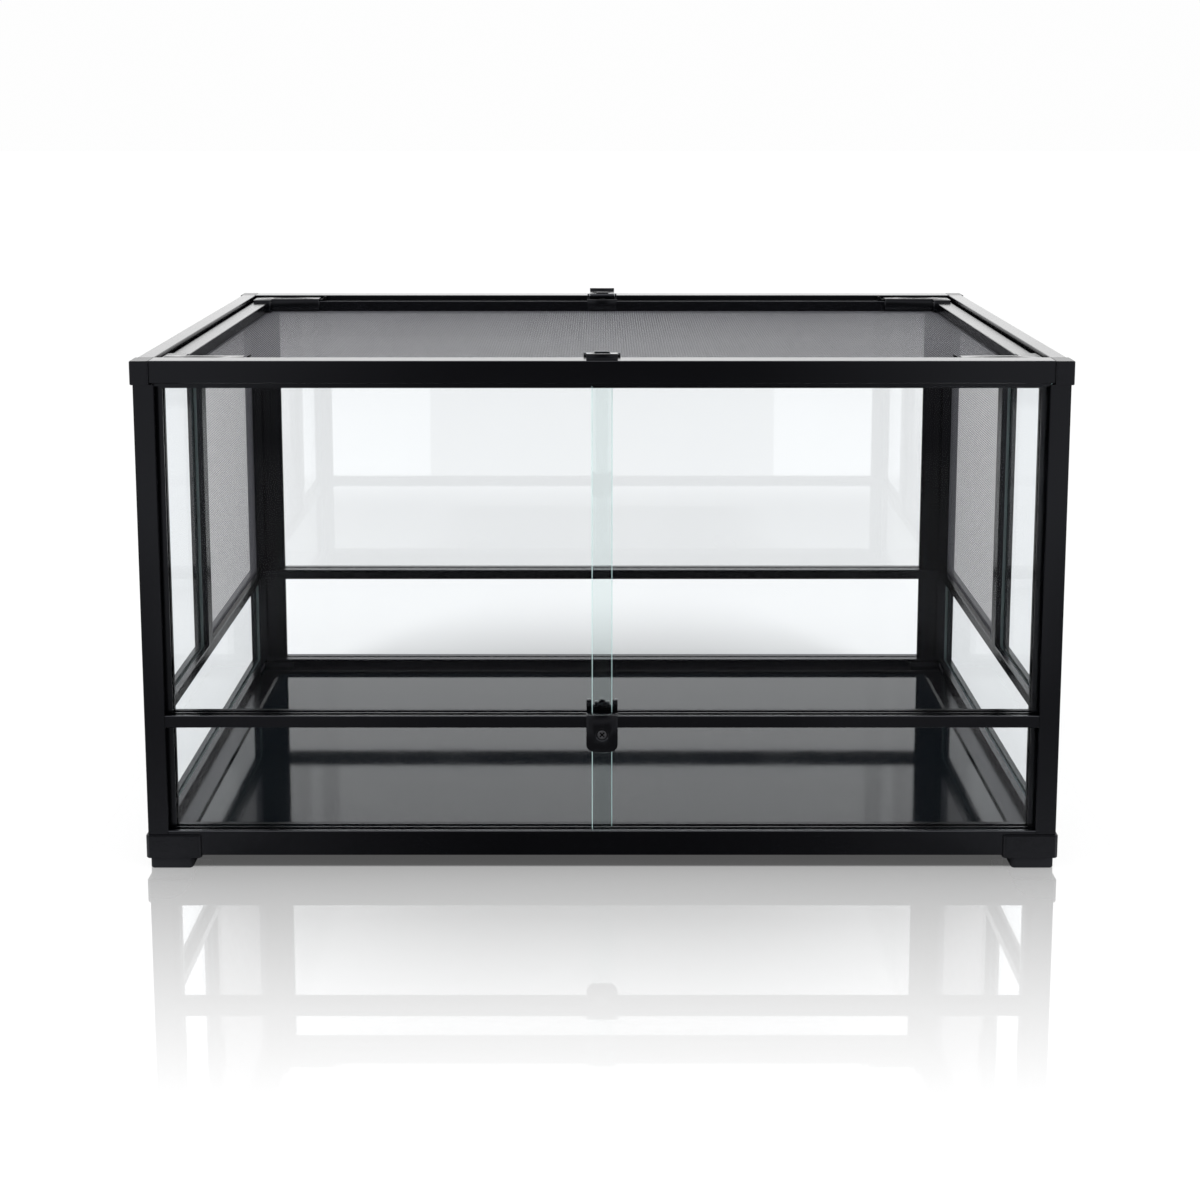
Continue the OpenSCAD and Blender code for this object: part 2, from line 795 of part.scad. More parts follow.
module lock_plate() {
    color(BLACK_PLASTIC) at_face(FRONT) difference() {
        union() {
            translate([0, lock_back, 0]) rotate([90, 0, 0]) linear_extrude(lock_back + proud) {
                round_area(-lock_w / 2, lock_w / 2, lock_bottom, lock_top, lock_r);
                area(-lock_w / 2, lock_w / 2, lock_bottom + lock_r, lock_top);
            }
            // hook over the front lip of the rail
            translate([-lock_w / 2, -proud, mid_top + 0.2])
                cube([lock_w, track_s(0) - 0.5 + proud, lock_top - mid_top - 0.2]);
            // boss round the cylinder, flat where it meets the rail above
            difference() {
                translate([0, pane_s(0) - 3, key_height]) rotate([90, 0, 0])
                    cylinder(r = key_r + 2, h = pane_s(0) - 3);
                translate([-lock_w, lock_back, mid_z - 0.2]) cube([2 * lock_w, rail_d, rail_d]);
            }
        }
        // cylinder bore and the dished recess round it
        translate([0, rail_d, key_height]) rotate([90, 0, 0])
            cylinder(r = key_r + run_fit, h = 2 * rail_d);
        translate([0, -proud + 0.8, key_height]) rotate([90, 0, 0])
            cylinder(r1 = key_r + 1, r2 = key_r + 2.2, h = 0.8 + 0.01);
    }
}

// Key cylinder with a cross slot in its face and a cam behind
module lock_cylinder() {
    cam_s = pane_s(0) - 2.8;
    face_s = -proud + 0.6;
    color(STEEL) at_face(FRONT) {
        difference() {
            translate([0, cam_s + 0.2, key_height]) rotate([90, 0, 0])
                cylinder(r = key_r, h = cam_s + 0.2 - face_s);
            for (a = [45, 135])
                translate([0, face_s + 1.2, key_height]) rotate([90, a, 0])
                    translate([-key_r * 0.7, -0.6, 0]) cube([key_r * 1.4, 1.2, 1.2 + past]);
        }
        translate([0, cam_s + 1.4, key_height]) rotate([90, 0, 0]) linear_extrude(1.3) {
            area(-key_r * 0.6, key_r * 0.6, -key_r - 5, 0);
            circle(key_r);
        }
    }
}

// Catch behind the doors, on the rear lip of the mid rail
module lock_keeper() {
    front = track_s(1) + track_w + 0.8;
    half = lock_w / 2;
    color(BLACK_PLASTIC) at_face(FRONT) {
        translate([0, rail_d + 1.8, 0]) rotate([90, 0, 0]) linear_extrude(rail_d + 1.8 - front)
            difference() {
                union() {
                    area(-half, half, mid_top, mid_top + 8);
                    for (x = [-half, half - 5]) area(x, x + 5, mid_top, mid_top + 10);
                    translate([0, mid_top + 7]) circle(4);
                }
                for (x = [-half + 5, half - 8]) area(x, x + 3, mid_top + 5, mid_top + 9);
            }
        translate([-half, rail_d, mid_top - 7]) cube([2 * half, 1.8, 8]);
    }
}

foot_pads();
foot_blocks();
floor_panel();
bottom_rail_across(FRONT, "front");  // bottom_rail_front
bottom_rail_across(BACK, "back");  // bottom_rail_back
bottom_rail_deep(LEFT);  // bottom_rail_left
bottom_rail_deep(RIGHT);  // bottom_rail_right
lower_post(LEFT, FRONT);  // lower_post_front_left
lower_post(RIGHT, FRONT);  // lower_post_front_right
lower_post(LEFT, BACK);  // lower_post_back_left
lower_post(RIGHT, BACK);  // lower_post_back_right
mid_rail_across(FRONT, "front");  // mid_rail_front
mid_rail_across(BACK, "back");  // mid_rail_back
mid_rail_deep(LEFT);  // mid_rail_left
mid_rail_deep(RIGHT);  // mid_rail_right
upper_post(LEFT, FRONT);  // upper_post_front_left
upper_post(RIGHT, FRONT);  // upper_post_front_right
upper_post(LEFT, BACK);  // upper_post_back_left
upper_post(RIGHT, BACK);  // upper_post_back_right
top_rail_across(FRONT, "front");  // top_rail_front
top_rail_across(BACK, "back");  // top_rail_back
top_rail_deep(LEFT);  // top_rail_left
top_rail_deep(RIGHT);  // top_rail_right
top_rail_ends();
post_joiners();
top_corners();
lower_pane_front(LEFT);  // lower_pane_front_left
lower_pane_front(RIGHT);  // lower_pane_front_right
pane_back(foot_top + pane_play, mid_z + pane_bite - 0.5 - pane_play);  // lower_pane_back
lower_pane_side(LEFT);  // lower_pane_left
lower_pane_side(RIGHT);  // lower_pane_right
door(LEFT);  // door_left
door(RIGHT);  // door_right
pane_back(pane_low, pane_high);  // back_pane
side_pane(LEFT);  // side_pane_left
side_pane(RIGHT);  // side_pane_right
side_divider(LEFT);  // side_divider_left
side_divider(RIGHT);  // side_divider_right
side_mesh(LEFT);  // side_mesh_left
side_mesh(RIGHT);  // side_mesh_right
lid_rail_across(FRONT);  // lid_rail_front
lid_rail_across(BACK);  // lid_rail_back
lid_rail_deep(LEFT);  // lid_rail_left
lid_rail_deep(RIGHT);  // lid_rail_right
lid_mesh();
lid_corner_at(LEFT, FRONT);  // lid_corner_front_left
lid_corner_at(RIGHT, FRONT);  // lid_corner_front_right
lid_corner_at(LEFT, BACK);  // lid_corner_back_left
lid_corner_at(RIGHT, BACK);  // lid_corner_back_right
shutter(LEFT, FRONT);  // shutter_front_left
shutter(RIGHT, FRONT);  // shutter_front_right
shutter(LEFT, BACK);  // shutter_back_left
shutter(RIGHT, BACK);  // shutter_back_right
hasp_bases();
hasp_pins();
hasp(FRONT);  // hasp_front
hasp(BACK);  // hasp_back
lock_plate();
lock_cylinder();
lock_keeper();
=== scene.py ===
import json
import math

import bpy
from bpy.props import FloatProperty, FloatVectorProperty, PointerProperty
from mathutils import Matrix, Vector


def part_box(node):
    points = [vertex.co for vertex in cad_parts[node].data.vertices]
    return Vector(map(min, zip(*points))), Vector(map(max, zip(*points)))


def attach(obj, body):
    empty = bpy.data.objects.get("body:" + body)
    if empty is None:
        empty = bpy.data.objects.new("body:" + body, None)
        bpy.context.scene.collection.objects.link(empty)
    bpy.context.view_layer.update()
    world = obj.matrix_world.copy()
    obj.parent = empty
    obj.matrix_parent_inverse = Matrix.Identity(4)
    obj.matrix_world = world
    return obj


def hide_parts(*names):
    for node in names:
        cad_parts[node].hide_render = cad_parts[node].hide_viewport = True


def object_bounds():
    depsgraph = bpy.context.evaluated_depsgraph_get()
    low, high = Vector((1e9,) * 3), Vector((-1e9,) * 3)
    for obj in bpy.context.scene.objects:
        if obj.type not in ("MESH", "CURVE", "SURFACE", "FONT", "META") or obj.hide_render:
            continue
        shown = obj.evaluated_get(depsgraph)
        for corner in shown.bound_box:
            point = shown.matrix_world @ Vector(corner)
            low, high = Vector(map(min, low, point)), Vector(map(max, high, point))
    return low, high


bl_info = {
    "name": "Reptile Terrarium",
    "version": (1, 0, 0),
    "blender": (4, 5, 0),
    "location": "View3D > Sidebar > Terrarium",
    "description": "Finishes a glass terrarium: coated frame, ground glass, wire mesh and clips",
    "category": "Object",
}

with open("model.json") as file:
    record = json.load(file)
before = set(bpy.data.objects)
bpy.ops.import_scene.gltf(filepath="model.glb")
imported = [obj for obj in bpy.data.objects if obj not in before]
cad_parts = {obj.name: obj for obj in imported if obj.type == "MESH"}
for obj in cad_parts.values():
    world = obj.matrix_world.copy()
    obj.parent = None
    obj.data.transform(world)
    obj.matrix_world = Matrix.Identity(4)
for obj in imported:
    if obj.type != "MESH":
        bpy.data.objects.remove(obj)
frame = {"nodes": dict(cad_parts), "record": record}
CAD_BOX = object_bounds()

ROWS = ("front", "back")
SIDES = ("left", "right")
LEVELS = ("bottom", "mid", "top", "lid")
CORNERS = [(row, side) for row in ROWS for side in SIDES]
ALONG_X = [f"{level}_rail_{row}" for level in LEVELS for row in ROWS]
ALONG_Y = [f"{level}_rail_{side}" for level in LEVELS for side in SIDES] + ["top_rail_ends"]
UPRIGHT = [f"{level}_post_{row}_{side}" for level in ("lower", "upper") for row, side in CORNERS]
UPRIGHT += [f"side_divider_{side}" for side in SIDES]
ACROSS_PANES = [
    "lower_pane_front_left", "lower_pane_front_right", "lower_pane_back",
    "door_left", "door_right", "back_pane",
]
SIDE_PANES = [f"{kind}_pane_{side}" for kind in ("lower", "side") for side in SIDES]
GLOSS_CLIPS = ["hasp_front", "hasp_back", "hasp_bases", "lock_plate", "lock_keeper"]


# ---------- shader maths ----------


class Value:
    """What a socket gives at each point of a surface. Operators add Math nodes."""

    def __init__(self, look, socket):
        self.look = look
        self.socket = socket

    def maths(self, operation, first, second=0.0):
        return self.look.node("ShaderNodeMath", {"operation": operation}, {0: first, 1: second})

    def __add__(self, other):
        return self.maths("ADD", self, other)

    def __sub__(self, other):
        return self.maths("SUBTRACT", self, other)

    def __mul__(self, other):
        return self.maths("MULTIPLY", self, other)

    def __pow__(self, other):
        return self.maths("POWER", self, other)

    def __radd__(self, other):
        return self.maths("ADD", other, self)

    def __rsub__(self, other):
        return self.maths("SUBTRACT", other, self)

    def __rmul__(self, other):
        return self.maths("MULTIPLY", other, self)

    def at_least(self, other):
        return self.maths("MAXIMUM", self, other)

    def size(self):
        return self.maths("ABSOLUTE", self)


class Look:
    """A node tree that expressions on values are added to."""

    def __init__(self, tree):
        self.tree = tree
        tree.nodes.clear()

    def node(self, kind, settings=None, sockets=None, output=0):
        """Adds a node: its settings first, then the values or links of its sockets."""
        made = self.tree.nodes.new(kind)
        for name, value in (settings or {}).items():
            setattr(made, name, value)
        for key, value in (sockets or {}).items():
            if isinstance(value, Value):
                self.tree.links.new(value.socket, made.inputs[key])
            else:
                made.inputs[key].default_value = value
        return Value(self, made.outputs[output])

    def place(self, stretch=(1, 1, 1)):
        """The point on the piece in metres, stretched along the axes."""
        point = self.node("ShaderNodeTexCoord", output="Object")
        return self.node("ShaderNodeMapping", {}, {"Vector": point, "Scale": stretch})

    def axes(self, vector):
        """The three parts of a vector."""
        first = self.node("ShaderNodeSeparateXYZ", {}, {0: vector})
        outputs = first.socket.node.outputs
        return [Value(self, outputs[i]) for i in range(3)]

    def noise(self, point, scale, detail=2.0, roughness=0.5):
        """Noise of about 0 to 1 with this many features to a metre."""
        sockets = {"Vector": point, "Scale": scale, "Detail": detail, "Roughness": roughness}
        return self.node("ShaderNodeTexNoise", {}, sockets)

    def ramp(self, value, low, high, start=0.0, end=1.0):
        """Start below low and end above high, with an eased change between them."""
        return self.node(
            "ShaderNodeMapRange", {"interpolation_type": "SMOOTHSTEP"},
            {"Value": value, "From Min": low, "From Max": high, "To Min": start, "To Max": end},
        )

    def below(self, value, ends):
        """1 below the first end and 0 above the second, with an eased change between them."""
        return self.ramp(value, *ends, start=1.0, end=0.0)

    def blend(self, share, first, second):
        """A colour between two colours."""
        sockets = {0: share, 6: colour4(first), 7: colour4(second)}
        return self.node("ShaderNodeMix", {"data_type": "RGBA"}, sockets, output=2)

    def bump(self, height, depth):
        """A normal from a height of 0 to 1 that stands for a depth in metres."""
        return self.node("ShaderNodeBump", {}, {"Height": height, "Distance": depth, "Strength": 1.0})

    def mix(self, share, first, second):
        """A mix of two shaders."""
        return self.node("ShaderNodeMixShader", {}, {0: share, 1: first, 2: second})

    def finish(self, shader, kind="ShaderNodeOutputMaterial"):
        """Ends the tree with an output that shows a shader."""
        output = self.tree.nodes.new(kind)
        self.tree.links.new(shader.socket, output.inputs["Surface"])


def colour4(colour):
    """A colour as its socket takes it. A value passes through."""
    return colour if isinstance(colour, Value) else (*colour, 1.0)


def scaled(colour, factor):
    """A colour that is lighter or darker by a factor."""
    return [part * factor for part in colour]


def new_look(name):
    """A material and the look that fills it."""
    material = bpy.data.materials.new(name)
    material.use_nodes = True
    return material, Look(material.node_tree)


# ---------- finishes ----------

COOL_SHEEN = (0.87, 0.9, 1.0, 1.0)
CLEAR_WHITE = (1.0, 1.0, 1.0, 1.0)
SEAL_TINT = (0.958, 0.9765, 0.9765)
RIM_TINT = (0.72, 0.86, 0.84, 1.0)
PANEL_BLACK = (0.0025, 0.004, 0.0055)
SEAL_HALF = 0.0105
SEAL_FADES = 0.0002


def coated_metal(name, colour, axis):
    """Satin powder coat on an extrusion: fine orange peel, and faint lines along its length."""
    material, look = new_look(name)
    stretch = tuple(0.01 if along == axis else 1.0 for along in "xyz")
    peel = look.noise(look.place(), scale=1500.0, detail=1.0)
    drawn = look.noise(look.place(stretch), scale=900.0)
    cloud = look.noise(look.place(), scale=9.0, detail=3.0)
    specks = look.ramp(look.noise(look.place(), scale=2600.0, detail=0.0), 0.68, 0.8)
    shade = look.blend(cloud, colour, scaled(colour, 1.7))
    look.finish(look.node("ShaderNodeBsdfPrincipled", {}, {
        "Base Color": look.blend(specks * 0.5, shade, scaled(colour, 4.0)),
        "Roughness": 0.2 + (cloud - 0.5) * 0.04 + (drawn - 0.5) * 0.01,
        "Specular IOR Level": 0.26,
        "Specular Tint": COOL_SHEEN,
        "Normal": look.bump(peel * 0.9 + drawn * 0.1, depth=0.000001),
    }))
    return material


def moulded_plastic(name, colour, roughness, grain, depth, specular):
    """Moulded plastic or rubber with a fine spark-eroded grain and slight flow marks."""
    material, look = new_look(name)
    sparks = look.noise(look.place(), scale=grain, detail=3.0, roughness=0.6)
    flow = look.noise(look.place(stretch=(1.0, 1.0, 3.0)), scale=30.0, detail=3.0)
    look.finish(look.node("ShaderNodeBsdfPrincipled", {}, {
        "Base Color": look.blend(flow, colour, scaled(colour, 1.8)),
        "Roughness": roughness + (sparks - 0.5) * 0.08 + (flow - 0.5) * 0.05,
        "Specular IOR Level": specular,
        "Specular Tint": COOL_SHEEN,
        "Normal": look.bump(sparks, depth),
    }))
    return material


def brushed_steel(name, colour):
    """Brushed steel, its fine marks drawn out from front to back."""
    material, look = new_look(name)
    marks = look.noise(look.place(stretch=(1.0, 0.05, 1.0)), scale=2500.0)
    look.finish(look.node("ShaderNodeBsdfPrincipled", {}, {
        "Base Color": look.blend(marks, scaled(colour, 0.8), colour),
        "Metallic": 1.0,
        "Roughness": 0.22 + marks * 0.16,
        "Normal": look.bump(marks, depth=0.00002),
    }))
    return material


def wire_coat(name, colour):
    """Dark enamel on woven wire, thicker in some places than in others."""
    material, look = new_look(name)
    beads = look.noise(look.place(), scale=420.0)
    bands = look.noise(look.place(), scale=6.0)
    shade = look.blend(bands, scaled(colour, 0.8), scaled(colour, 1.2))
    look.finish(look.node("ShaderNodeBsdfPrincipled", {}, {
        "Base Color": look.blend(look.ramp(beads, 0.55, 0.75), shade, scaled(colour, 1.6)),
        "Roughness": 0.32 + beads * 0.2,
        "Specular IOR Level": 0.42,
        "Normal": look.bump(beads, depth=0.000005),
    }))
    return material


def clear_glass(name, tint, facing, grazing=1.0, strip=0.0):
    """Float glass: it tints what is behind it, mirrors more at a slant and is faintly wavy.

    Facing and grazing are the shares that it mirrors. Strip is how far from the middle of the
    tank a clear seal reaches, which tints more. At 0 there is no seal.
    """
    material, look = new_look(name)
    wave = look.noise(look.place(), scale=5.0, detail=1.0)
    smears = look.noise(look.place(stretch=(1.0, 1.0, 0.4)), scale=7.0, detail=4.0)
    slant = look.node("ShaderNodeLayerWeight", {}, {"Blend": 0.5}, output="Facing")
    mirror = facing + (grazing - facing) * slant ** 5.0
    pane = look.blend(look.ramp(smears, 0.35, 0.75), tint, scaled(tint, 0.996))
    if strip:
        x, _, _ = look.axes(look.place())
        sealed = 1.0 - look.ramp(x.size(), strip, strip + SEAL_FADES)
        pane = look.blend(sealed, pane, SEAL_TINT)
    through = look.node("ShaderNodeBsdfTransparent", {}, {"Color": pane})
    gloss = look.node("ShaderNodeBsdfGlossy", {}, {
        "Color": CLEAR_WHITE, "Roughness": 0.0, "Normal": look.bump(wave, depth=0.00002),
    })
    look.finish(look.mix(mirror, through, gloss))
    return material


def ground_glass(name, colour):
    """The ground rim of a pane, which gathers the green of the glass."""
    material, look = new_look(name)
    grit = look.noise(look.place(), scale=3000.0)
    gathers = look.noise(look.place(), scale=25.0)
    rim = look.node("ShaderNodeBsdfPrincipled", {}, {
        "Base Color": look.blend(gathers, colour, scaled(colour, 1.35)),
        "Roughness": 0.25 + grit * 0.2,
        "Normal": look.bump(grit, depth=0.00002),
    })
    through = look.node("ShaderNodeBsdfTransparent", {}, {"Color": RIM_TINT})
    look.finish(look.mix(0.7 + 0.1 * grit, through, rim))
    return material


def gloss_panel(name, colour):
    """Back-painted glass floor: deep black, a clean mirror with faint wipe marks."""
    material, look = new_look(name)
    wipes = look.noise(look.place(stretch=(1.0, 0.25, 1.0)), scale=16.0, detail=5.0, roughness=0.6)
    wave = look.noise(look.place(), scale=4.0, detail=1.0)
    look.finish(look.node("ShaderNodeBsdfPrincipled", {}, {
        "Base Color": look.blend(wipes, colour, scaled(colour, 1.5)),
        "Roughness": look.ramp(wipes, 0.4, 0.85, start=0.055, end=0.075),
        "IOR": 1.52,
        "Normal": look.bump(wave, depth=0.00002),
    }))
    return material


# ---------- modelling ----------

QUARTER_TURN = math.pi / 2

# Points and faces that are merged, edges that are rounded, and angles that are shaded smooth.
MERGE_WITHIN = 0.000002
FLAT_WITHIN = math.radians(0.5)
SHARP_EDGE = math.radians(28)
SMOOTH_UNDER = math.radians(35)
WIRE_SMOOTH_UNDER = math.radians(70)

# The least part of a normal along an axis, on a pane's broad face and on a wire's end.
BROAD_FACE = 0.99
WIRE_END = 0.9

# The wires: how far an end turns down and how far crossing layers stand apart, both in radii.
WIRE_SIDES = 6
WIRE_TURNS_DOWN = 0.3
WIRES_APART = 0.95

# The rounding of the lock cylinder, as a share of the clips' rounding.
CYLINDER_ROUND = 0.6


def select_only(*objects):
    """Selects these objects and makes the first one active."""
    bpy.ops.object.select_all(action="DESELECT")
    for obj in objects:
        obj.select_set(True)
    bpy.context.view_layer.objects.active = objects[0]


def edit(piece, *steps):
    """Runs edit mode steps on a whole piece."""
    select_only(piece)
    bpy.ops.object.mode_set(mode="EDIT")
    bpy.ops.mesh.select_all(action="SELECT")
    for step in steps:
        step()
    bpy.ops.object.mode_set(mode="OBJECT")


def clad(names, material):
    """Gives solids of the frame a finish."""
    for name in names:
        materials = frame["nodes"][name].data.materials
        materials.clear()
        materials.append(material)


def body_with(node):
    """The body that a solid moves with."""
    return next(b for b, nodes in frame["record"]["behaviour"]["bodies"].items() if node in nodes)


def stand_in(piece, slot, *nodes):
    """Lets a piece show in place of solids and move as they do."""
    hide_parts(*nodes)
    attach(piece, body_with(nodes[0]))


def merged_copy(node, name, *materials):
    """A copy of a solid with whole faces, so that its edges can be worked."""
    piece = bpy.data.objects.new(name, frame["nodes"][node].data.copy())
    bpy.context.scene.collection.objects.link(piece)
    piece.data.materials.clear()
    for material in materials:
        piece.data.materials.append(material)
    select_only(piece)
    if piece.data.has_custom_normals:
        bpy.ops.mesh.customdata_custom_splitnormals_clear()
    edit(
        piece,
        lambda: bpy.ops.mesh.remove_doubles(threshold=MERGE_WITHIN),
        lambda: bpy.ops.mesh.dissolve_limited(angle_limit=FLAT_WITHIN),
    )
    return piece


def soften(piece, width):
    """Rounds the sharp edges of a piece and shades it smooth between them."""
    modifier = piece.modifiers.new("soften", "BEVEL")
    modifier.width = width
    modifier.segments = 2
    modifier.limit_method = "ANGLE"
    modifier.angle_limit = SHARP_EDGE
    select_only(piece)
    bpy.ops.object.modifier_apply(modifier=modifier.name)
    bpy.ops.object.shade_smooth_by_angle(angle=SMOOTH_UNDER)


def glass_pane(node, thin, clear, ground):
    """A pane with arrissed edges, thin along one axis: clear faces, and a rim with the ground finish."""
    piece = merged_copy(node, "glass_" + node, clear, ground)
    settings = bpy.context.scene.terrarium_sizes
    edit(piece, lambda: bpy.ops.mesh.bevel(offset=settings.arris, segments=1, affect="EDGES"))
    for face in piece.data.polygons:
        face.material_index = 0 if abs(face.normal[thin]) > BROAD_FACE else 1
    stand_in(piece, "clear_glass", node)


def wires(count, pitch, length, radius, level):
    """Parallel wires along X, spread over Y, their ends turned down."""
    bpy.ops.object.select_all(action="DESELECT")
    bpy.ops.mesh.primitive_cylinder_add(
        vertices=WIRE_SIDES, radius=radius, depth=length - 2 * radius, rotation=(0, QUARTER_TURN, 0),
        location=(0, -pitch * (count - 1) / 2, level),
    )
    wire = bpy.context.object
    bpy.ops.object.transform_apply(location=True, rotation=True, scale=True)
    ends = [face.index for face in wire.data.polygons if abs(face.normal.x) > WIRE_END]
    for index in ends:
        bpy.ops.object.mode_set(mode="EDIT")
        bpy.ops.mesh.select_mode(type="FACE")
        bpy.ops.mesh.select_all(action="DESELECT")
        bpy.ops.object.mode_set(mode="OBJECT")
        face = wire.data.polygons[index]
        face.select = True
        turned_end = (math.copysign(radius, face.normal.x), 0, -radius * WIRE_TURNS_DOWN)
        bpy.ops.object.mode_set(mode="EDIT")
        bpy.ops.mesh.extrude_region_move(TRANSFORM_OT_translate={"value": turned_end})
        bpy.ops.object.mode_set(mode="OBJECT")
    modifier = wire.modifiers.new("spread", "ARRAY")
    modifier.count = count
    modifier.use_relative_offset = False
    modifier.use_constant_offset = True
    modifier.constant_offset_displace = (0, pitch, 0)
    select_only(wire)
    bpy.ops.object.modifier_apply(modifier=modifier.name)
    return wire


def woven_sheet(name, width, height, material):
    """Wire mesh flat in X and Y: two crossing layers of wires that touch."""
    settings = bpy.context.scene.terrarium_sizes
    pitch, weft, warp = settings.pitch, settings.weft / 2, settings.warp / 2
    across = wires(int(height / pitch), pitch, width, weft, -warp * WIRES_APART)
    along = wires(int(width / pitch), pitch, height, warp, weft * WIRES_APART)
    along.matrix_world = Matrix.Rotation(QUARTER_TURN, 4, "Z")
    select_only(along)
    bpy.ops.object.transform_apply(location=True, rotation=True, scale=True)
    select_only(across, along)
    bpy.ops.object.join()
    across.name = name
    across.data.materials.append(material)
    bpy.ops.object.shade_smooth_by_angle(angle=WIRE_SMOOTH_UNDER)
    return across


def box_of(node):
    """Lowest corner, highest corner and middle of a solid."""
    low, high = (Vector(corner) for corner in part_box(node))
    return low, high, (low + high) / 2


# ---------- settings ----------


class TerrariumSizes(bpy.types.PropertyGroup):
    """Sizes of what the frame carries."""

    pitch: FloatProperty(
        name="Mesh pitch", description="Distance between the wires of the mesh",
        default=0.00275, min=0.001, unit="LENGTH",
    )
    weft: FloatProperty(
        name="Fine wire", description="Diameter of the wires that run across",
        default=0.00032, min=0.0001, unit="LENGTH",
    )
    warp: FloatProperty(
        name="Stout wire", description="Diameter of the wires that run from front to back",
        default=0.0005, min=0.0001, unit="LENGTH",
    )
    arris: FloatProperty(
        name="Arris", description="Width of the bevel that is ground on a pane",
        default=0.0006, unit="LENGTH",
    )
    clip_round: FloatProperty(
        name="Clip rounding", description="Rounding of the edges of the clips",
        default=0.0006, unit="LENGTH",
    )


class TerrariumColours(bpy.types.PropertyGroup):
    """Colours of the finishes."""

    coat: FloatVectorProperty(
        name="Coat", description="Powder coat of the extrusions", subtype="COLOR",
        default=(0.0006, 0.0006, 0.0009), min=0, max=1,
    )
    plastic: FloatVectorProperty(
        name="Plastic", description="Corner blocks, feet and clips", subtype="COLOR",
        default=(0.0012, 0.0012, 0.0015), min=0, max=1,
    )
    tint: FloatVectorProperty(
        name="Glass", description="What one face of a pane lets through", subtype="COLOR",
        default=(0.982, 0.988, 0.992), min=0, max=1,
    )
    rim: FloatVectorProperty(
        name="Glass rim", description="Ground rim of a pane", subtype="COLOR",
        default=(0.5, 0.66, 0.66), min=0, max=1,
    )
    wire: FloatVectorProperty(
        name="Wire", description="Enamel of the mesh wires", subtype="COLOR",
        default=(0.089, 0.0895, 0.102), min=0, max=1,
    )
    steel: FloatVectorProperty(
        name="Steel", description="Pins of the hasps", subtype="COLOR",
        default=(0.56, 0.57, 0.6), min=0, max=1,
    )
    lock: FloatVectorProperty(
        name="Lock", description="Dark steel of the lock cylinder", subtype="COLOR",
        default=(0.13, 0.13, 0.14), min=0, max=1,
    )


# ---------- stage ----------

# The camera. Its shift leaves room below the tank for the mirror image.
CAMERA_PLACE = (0.0, -2.1263, 0.7731)
CAMERA_TILT = math.radians(81.65)
CAMERA_LENS = 57.9
CAMERA_SENSOR = 36.0
CAMERA_SHIFT = (-0.0017, -0.195)

# The softboxes, one on each side. These are the right one's.
SOFTBOX_PLACE = (1.9, -1.3, 1.2)
SOFTBOX_TARGET = (0.35, -0.2, 0.25)
SOFTBOX_WIDTH = 1.0
SOFTBOX_HEIGHT = 1.6
SOFTBOX_POWER = 18.0

# The floor: the white that lights the tank, the lesser white that is seen and keeps the shadow,
# how bright that is where nothing shades it, and the level that a glow lifts it to.
# The background is what is seen round it.
FLOOR_SIZE = 40.0
FLOOR_WHITE = 0.8
FLOOR_SEEN = 0.3
FLOOR_LIT = 0.97
FLOOR_LEVEL = 1.005
BACKGROUND = 0.988

# The mirror image in the floor: its share under the tank and at the feet, and the loss per metre. Under
# the tank the share is raised, so that the mirrored black underside also makes a painted shadow there.
MIRROR_UNDER_AS_SHADOW = 0.88
MIRROR_AT_FEET = 0.55
MIRROR_FADE = 1.1
UNDER_EDGE = 0.012
GLOSS_ROUGHNESS = 0.01

# Painted shade on the mirror image in front of the tank, darkest in the middle: its share at the feet,
# where it begins to clear and how fast, and how much clearer it is at the sides and how it narrows away
# from the tank.
PAINTED_SHADE_AT_FEET = 0.85
PAINTED_SHADE_FROM = 0.11
PAINTED_SHADE_FADE = 2.5
PAINTED_SHADE_AT_SIDES = 0.3
PAINTED_SHADE_SIDES = (0.08, 0.34)
PAINTED_SHADE_NARROWS = 0.5
PAINTED_SHADE_EDGE = 0.1

# Zones of the floor that glossy rays see darker, painted dark reflections for the coats and panes to
# mirror: the share of its white that each one takes away, and its ends. Across is metres from the
# middle, and before is metres from the tank.
DIM_NEAR = 0.72
NEAR_BEFORE = (0.45, 0.85)
BESIDE_ACROSS = (0.42, 0.45)
BESIDE_WIDENS = 0.22
BESIDE_BEFORE = (1.1, 1.6)
DIM_MIDDLE = 0.9
MIDDLE_ACROSS = (0.2, 0.56)
MIDDLE_BEFORE = (0.46, 0.56)
DIM_FAR = 0.95
FAR_ACROSS = (0.6, 1.08)
FAR_BEFORE = (1.95, 2.3)
# A painted dark strip before the tank, seen only in reflections.
DIM_PAINTED_STRIP = 0.38
PAINTED_STRIP_HALF = 0.272
PAINTED_STRIP_EDGE = 0.002
PAINTED_STRIP_WIDENS = 0.09

# What glossy rays see brighter or darker round the tank, by the parts of their direction.
BACK_GLOW = 0.85
BEHIND_Y = (0.2, 0.8)
BEHIND_Z = (0.2, 0.28)
SKY_GLOW = 2.0
ABOVE_Z = (0.5, 0.7)
AHEAD_X = (0.12, 0.22)
AHEAD_Y = (-0.9, -0.8)
AHEAD_Z = (0.15, 0.3)


def add_camera():
    data = bpy.data.cameras.new("camera")
    data.lens = CAMERA_LENS
    data.sensor_width = CAMERA_SENSOR
    data.shift_x, data.shift_y = CAMERA_SHIFT
    camera = bpy.data.objects.new("camera", data)
    camera.location = CAMERA_PLACE
    camera.rotation_euler = (CAMERA_TILT, 0, 0)
    bpy.context.scene.collection.objects.link(camera)
    bpy.context.scene.camera = camera


